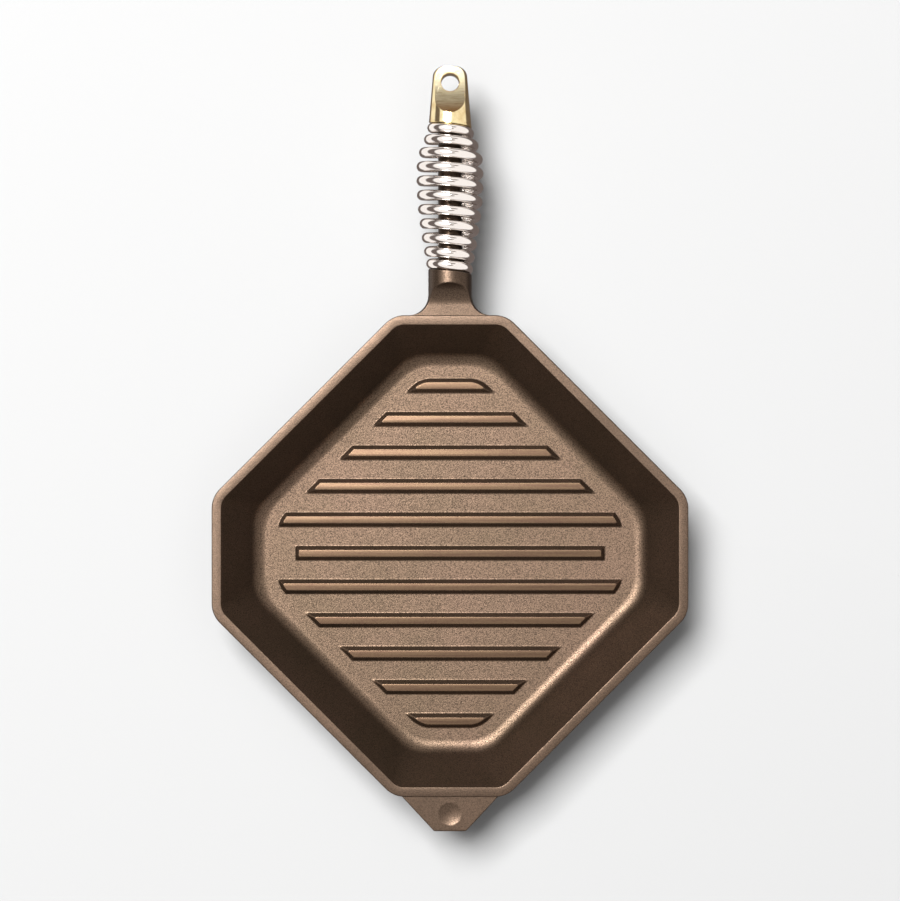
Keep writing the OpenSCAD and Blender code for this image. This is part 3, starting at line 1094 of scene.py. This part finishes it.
@dataclass
class CoilGrip:
    """Round wire wound into the barrel-shaped grip. Sizes are in millimetres."""

    coil: CoilPath
    end_clearance: float = 0.5
    end_bevel: float = 0.5
    undersize: float = 0.005
    sides: int = 32
    rings_per_turn: int = 72
    small_turn: float = 0.002

    def build(self) -> None:
        """Sweep the wire's circle along the path, with a bevel at each cut end.

        The circle stands square to the path's direction, which is the difference of two points a small
        turn apart, and its first point faces away from the handle's axis. At each end one more ring closes
        in by the bevel.
        """
        coil = self.coil
        inset = self.end_clearance / (2 * math.pi * coil.end_r)
        bevel = self.end_bevel / (2 * math.pi * coil.end_r)
        first, last = inset + bevel, coil.turns - inset - bevel
        t = np.linspace(first, last, int(coil.turns) * self.rings_per_turn + 1)
        t = np.concatenate([[inset], t, [coil.turns - inset]])
        radius = np.full(len(t), coil.wire_r - self.undersize)
        radius[[0, -1]] -= self.end_bevel
        ahead = coil.point(t + self.small_turn) - coil.point(t - self.small_turn)
        ahead /= np.linalg.norm(ahead, axis=-1, keepdims=True)
        away = turned(np.ones(len(t)), np.zeros(len(t)), t, 0)
        across = np.cross(ahead, away)
        across /= np.linalg.norm(across, axis=-1, keepdims=True)
        out = np.cross(across, ahead)
        a = np.linspace(0, 2 * np.pi, self.sides, endpoint=False)[None, :, None]
        section = radius[:, None, None] * (np.cos(a) * out[:, None] + np.sin(a) * across[:, None])
        rings = coil.point(t)[:, None] + section
        dress(skin("wire_coil", rings), [PolishedSteel()], "handle_coil")


@dataclass
class EndCap:
    """Brass cap: a turned cone with two milled flats and a hang hole. Sizes are in millimetres."""

    coil: CoilPath
    radius: float = 12.3
    length: float = 33.6
    taper: float = math.radians(4.8)
    tip_r: float = 6
    flat_t: float = 11
    flat_w: float = 17.2
    flat_l: float = 27.6
    hole_r: float = 5.2
    hole_in: float = 9.5
    hole_bevel: float = 0.4
    bore_r: float = 7
    bore_end: float = 4
    stud_r: float = 4.05
    stud_l: float = 11
    base_edge_r: float = 0.5
    edge_bevel: float = 0.16
    bevel_over: float = math.radians(32)
    level_over: float = 0.99
    columns: int = 180
    cone_rows: int = 40
    tip_rows: int = 20
    edge_points: int = 6
    cutter_points: int = 97
    step_angle: float = 3

    @property
    def base_y(self) -> float:
        """Place of the grip's last turn, from which the cap's length is measured."""
        return float(self.coil.y(self.coil.turns))

    def body(self) -> bpy.types.Object:
        """Make the turned cone with its helical seat and its stepped bore.

        From the bottom of the bore out: stud's bore, tang's bore, the seat's ramp, a rounded edge, a cone
        that narrows evenly, and a quarter-round tip.
        """
        z = self.coil.axis_z
        turn = np.linspace(self.step_angle / 360, 1, self.columns)[None, :]
        seat = self.coil.cap_seat(turn)
        lean = math.tan(self.taper)
        e = self.base_edge_r
        bore_y = self.base_y + self.bore_end
        inner = [
            turned(self.stud_r, bore_y + self.stud_l, turn, z),
            turned(self.stud_r, bore_y, turn, z),
            turned(self.bore_r, bore_y, turn, z),
            turned(self.bore_r, seat, turn, z),
        ]
        a = np.linspace(0, np.pi / 2, self.edge_points)[:, None]
        cone_r = self.radius - lean * (seat - self.base_y)
        edge = turned(cone_r - e + e * np.sin(a), seat + e - e * np.cos(a), turn, z)
        tip_y = self.length - self.tip_r
        tip_x = self.radius - lean * tip_y - self.tip_r / math.cos(self.taper)
        last = self.base_y + tip_y + self.tip_r * math.sin(self.taper)
        s = np.linspace(0, 1, self.cone_rows)[1:-1, None]
        y = seat + e + (last - seat - e) * s
        cone = turned(self.radius - lean * (y - self.base_y), y, turn, z)
        a = np.linspace(self.taper, np.pi / 2, self.tip_rows)[:, None]
        tip = turned(tip_x + self.tip_r * np.cos(a), self.base_y + tip_y + self.tip_r * np.sin(a), turn, z)
        rings = np.concatenate([*inner, edge, cone, tip])
        return skin("brass_end_cap", rings[:, ::-1])

    def flat_cutter(self, side: Side) -> bpy.types.Object:
        """Make the block that mills a flat: a long slot with one round end, from the flat outwards."""
        r = self.flat_w / 2
        middle_y = self.base_y + self.length - self.flat_l + r
        a = np.linspace(-np.pi, 0, self.cutter_points)
        x = np.concatenate([r * np.cos(a), [r, -r]])
        y = np.concatenate([middle_y + r * np.sin(a), [middle_y + self.flat_l] * 2])
        levels = self.coil.axis_z + side.value * np.array([self.flat_t / 2, self.radius + 2])
        rings = np.stack([np.stack([x, y, 0 * x + level], axis=-1) for level in levels])
        return skin("flat_cutter_" + side.name.lower(), rings if side is Side.UPPER else rings[::-1])

    def hole_cutter(self) -> bpy.types.Object:
        """Make the drill of the hang hole, which widens at 45 degrees to leave both edges bevelled."""
        h, b, r = self.flat_t / 2, self.hole_bevel, self.hole_r
        radius = np.array([r + b + 1, r + b, r, r, r + b, r + b + 1])[:, None]
        level = self.coil.axis_z + np.array([-h - 1, -h, -h + b, h - b, h, h + 1])[:, None]
        a = np.linspace(0, 2 * np.pi, self.cutter_points)[None, :-1]
        y = self.base_y + self.length - self.hole_in
        rings = np.stack([radius * np.cos(a), y + radius * np.sin(a), level + 0 * a], axis=-1)
        return skin("hole_cutter", rings)

    def build(self) -> None:
        """Mill the flats, drill the hole, bevel the edges, and give the flats their own finish."""
        cap = self.body()
        for cutter in (self.flat_cutter(Side.UPPER), self.flat_cutter(Side.LOWER), self.hole_cutter()):
            cut = cap.modifiers.new(cutter.name, "BOOLEAN")
            cut.operation = "DIFFERENCE"
            cut.solver = "EXACT"
            cut.object = cutter
            self.apply(cap)
            bpy.data.objects.remove(cutter)
        bevel = cap.modifiers.new("edge", "BEVEL")
        bevel.width = self.edge_bevel * MM
        bevel.segments = 2
        bevel.limit_method = "ANGLE"
        bevel.angle_limit = self.bevel_over
        self.apply(cap)
        cap.data.shade_smooth()
        cap.data.set_sharp_from_angle(angle=CAP_SHARP_OVER)
        dress(cap, [TurnedBrass(), MilledBrass()], "end_cap")
        count = len(cap.data.polygons)
        normal, centre = np.empty(count * 3), np.empty(count * 3)
        cap.data.polygons.foreach_get("normal", normal)
        cap.data.polygons.foreach_get("center", centre)
        height = np.abs(centre.reshape(-1, 3)[:, 2] / MM - self.coil.axis_z)
        facing = np.abs(normal.reshape(-1, 3)[:, 2])
        flat = (facing > self.level_over) & (np.abs(height - self.flat_t / 2) < SAME_MM)
        cap.data.polygons.foreach_set("material_index", flat.astype(np.int32))
        cap.data.polygons.foreach_set("use_smooth", ~flat)
        cap.data.update()

    @staticmethod
    def apply(piece: bpy.types.Object) -> None:
        """Turn a piece's modifiers into its mesh."""
        graph = bpy.context.evaluated_depsgraph_get()
        done = bpy.data.meshes.new_from_object(piece.evaluated_get(graph))
        piece.modifiers.clear()
        piece.data = done


@dataclass(frozen=True)
class Softbox:
    """Square soft light that faces the origin. Sizes are in metres, and the power is in watts."""

    name: str
    place: tuple[float, float, float]
    size: float
    power: float
    in_gloss: bool = True

    def hang(self) -> None:
        """Hang the light, tipped by its angle from straight up and turned to its bearing."""
        lamp = bpy.data.lights.new(self.name, "AREA")
        lamp.shape = "SQUARE"
        lamp.size = self.size
        lamp.energy = self.power
        holder = bpy.data.objects.new(self.name, lamp)
        x, y, z = self.place
        holder.rotation_euler = (math.atan2(math.hypot(x, y), z), 0, math.atan2(y, x) + math.pi / 2)
        holder.location = self.place
        holder.visible_camera = False
        holder.visible_glossy = self.in_gloss
        bpy.context.scene.collection.objects.link(holder)


@dataclass
class Studio:
    """Pale board, soft lights, the room that metal mirrors, and an overhead camera. Sizes are in metres."""

    board: float = 8
    key: Softbox = Softbox("key_softbox", (-1.25, 1.7, 4.41), 2.3, 755)
    fill: Softbox = Softbox("fill_card", (0, 0, 2.6), 4, 55, in_gloss=False)
    wall: str = "#fffbf8"
    ceiling: str = "#8a8078"
    shade: str = "#6e6460"
    wall_strength: float = 1.18
    wall_tilt: float = math.radians(20.5)
    camera_y: float = 0.0607
    camera_z: float = 1.405
    lens_mm: float = 94.5
    sensor_mm: float = 36
    nearest: float = 0.05
    farthest: float = 20

    def build(self) -> None:
        """Lay the board, hang the lights, make the room and place the camera, which looks straight down."""
        h = self.board / 2
        corners = np.array([[-h, -h, 0], [h, -h, 0], [h, h, 0], [-h, h, 0]]) / MM
        board = new_mesh_object("studio_board", corners, [[0, 1, 2, 3]])
        board.visible_glossy = False
        dress(board, [StudioFloor()])
        self.key.hang()
        self.fill.hang()
        scene = bpy.context.scene
        scene.world = self.room()
        scene.view_settings.view_transform = "Standard"
        lens = bpy.data.cameras.new("camera")
        lens.lens = self.lens_mm
        lens.sensor_width = self.sensor_mm
        lens.clip_start = self.nearest
        lens.clip_end = self.farthest
        camera = bpy.data.objects.new("camera", lens)
        camera.location = (0, self.camera_y, self.camera_z)
        scene.collection.objects.link(camera)
        scene.camera = camera

    def room(self) -> bpy.types.World:
        """Make the room that shiny surfaces mirror. It lights nothing else.

        White walls stand all round, lower on the right than on the left. Straight above, the ceiling is
        darker, and so is a gap between the walls behind the handle. Everything under the walls is darker
        still, apart from the lit board to the left. An edge of a patch is where a coordinate of the
        direction, from -1 to 1, goes from its first value to its second.

        Returns:
            The world.
        """
        world = bpy.data.worlds.new("studio_room")
        world.use_nodes = True
        world.node_tree.nodes.clear()
        way = add_node(world, "TexCoord").outputs["Generated"]
        x, y, z = add_node(world, "SeparateXYZ", {}, {0: way}).outputs
        lean = add_node(world, "Math", {"operation": "MULTIPLY", 1: math.sin(self.wall_tilt)}, {0: x})
        tilted = add_node(
            world,
            "Math",
            {"operation": "MULTIPLY_ADD", 1: math.cos(self.wall_tilt)},
            {0: z, 2: lean.outputs[0]},
        ).outputs[0]
        overhead = self.patch(world, [(z, 0.955, 0.96), (y, 0.158, 0.154)])
        gap = self.patch(
            world,
            [(y, 0.4, 0.44), (y, 0.74, 0.7), (x, -0.12, -0.06), (x, 0.5, 0.4), (z, 0.2, 0.3)],
        )
        board = self.patch(world, [(z, -0.74, -0.66), (z, -0.02, -0.08), (x, -0.1, -0.4)])
        walls = self.patch(world, [(tilted, 0.12, 0.2)])
        lit = add_node(world, "Math", {"operation": "MAXIMUM"}, {0: board, 1: walls}).outputs[0]
        dark = add_node(world, "Math", {"operation": "MAXIMUM"}, {0: overhead, 1: gap}).outputs[0]
        lower = add_node(
            world,
            "Mix",
            {"data_type": "RGBA", 6: to_linear(self.shade), 7: to_linear(self.wall)},
            {0: lit},
        ).outputs[2]
        colour = add_node(
            world, "Mix", {"data_type": "RGBA", 7: to_linear(self.ceiling)}, {0: dark, 6: lower}
        ).outputs[2]
        glow = add_node(world, "Background", {"Strength": self.wall_strength}, {"Color": colour}).outputs[0]
        add_node(world, "OutputWorld", {}, {"Surface": glow})
        world.cycles_visibility.diffuse = False
        return world

    @staticmethod
    def patch(world: bpy.types.World, edges: Sequence[tuple[Socket, float, float]]) -> Socket:
        """Mask off a patch of the room, 1 within all of its edges and 0 outside them.

        The mask is the product of one ramp for each edge.

        Args:
            world: World that gets the nodes.
            edges: For each edge, the coordinate that crosses it, and its values where the ramp is 0 and 1.

        Returns:
            The mask.
        """
        ramps = [
            add_node(world, "MapRange", {"From Min": low, "From Max": high}, {"Value": across}).outputs[0]
            for across, low, high in edges
        ]
        mask = ramps[0]
        for ramp in ramps[1:]:
            mask = add_node(world, "Math", {"operation": "MULTIPLY"}, {0: mask, 1: ramp}).outputs[0]
        return mask


def dress_stud() -> None:
    """Give the hidden stud, a CAD node, its zinc plating."""
    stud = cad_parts["cap_stud"]
    for held in stud.material_slots:
        held.material = ZincSteel().material()
    log.info("cap_stud keeps its CAD shape")


def main() -> None:
    """Build the pan from its bowl to its cap, then the studio."""
    logging.basicConfig(level=logging.INFO, format="%(name)s: %(message)s", force=True)
    pan = PanBody()
    coil = CoilPath(pan)
    pan.build()
    GrillRidges(pan).build()
    HandleNeck(pan, coil).build()
    HelperTab(pan).build()
    CoilGrip(coil).build()
    EndCap(coil).build()
    dress_stud()
    Studio().build()


if __name__ == "__main__":
    main()
